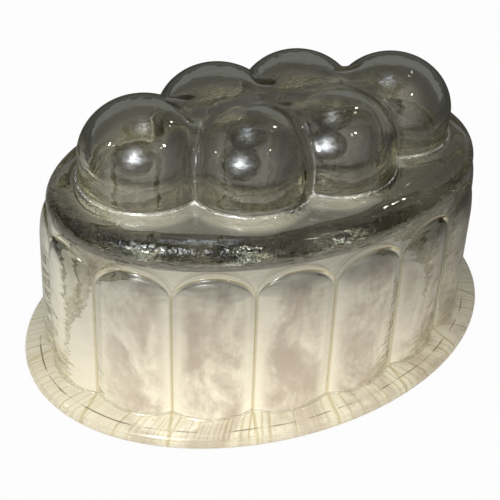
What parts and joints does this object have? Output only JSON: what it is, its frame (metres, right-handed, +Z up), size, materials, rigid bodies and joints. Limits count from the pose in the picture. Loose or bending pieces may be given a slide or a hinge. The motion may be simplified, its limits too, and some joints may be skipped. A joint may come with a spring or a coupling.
{
  "type": "jelly mould",
  "caption": "Oval pressed-glass jelly mould with a flat rim, lobed side wall with arched tops, rounded shoulder and a crown of domes. It stands upside down on its rim.",
  "frame": {"origin": "centre of the rim's flat underside, which is the bottom as the mould stands", "axes": "+X along the oval's long axis, +Y across it, +Z up from the rim to the domes"},
  "size_m": [0.18, 0.125, 0.0974],
  "materials": {
    "pressed_glass": "clear pressed glass with a faint straw-olive tint, glossy, with soft ripples from the iron mould"
  },
  "bodies": {
    "root": {"glass_mould": "pressed_glass"}
  },
  "joints": []
}
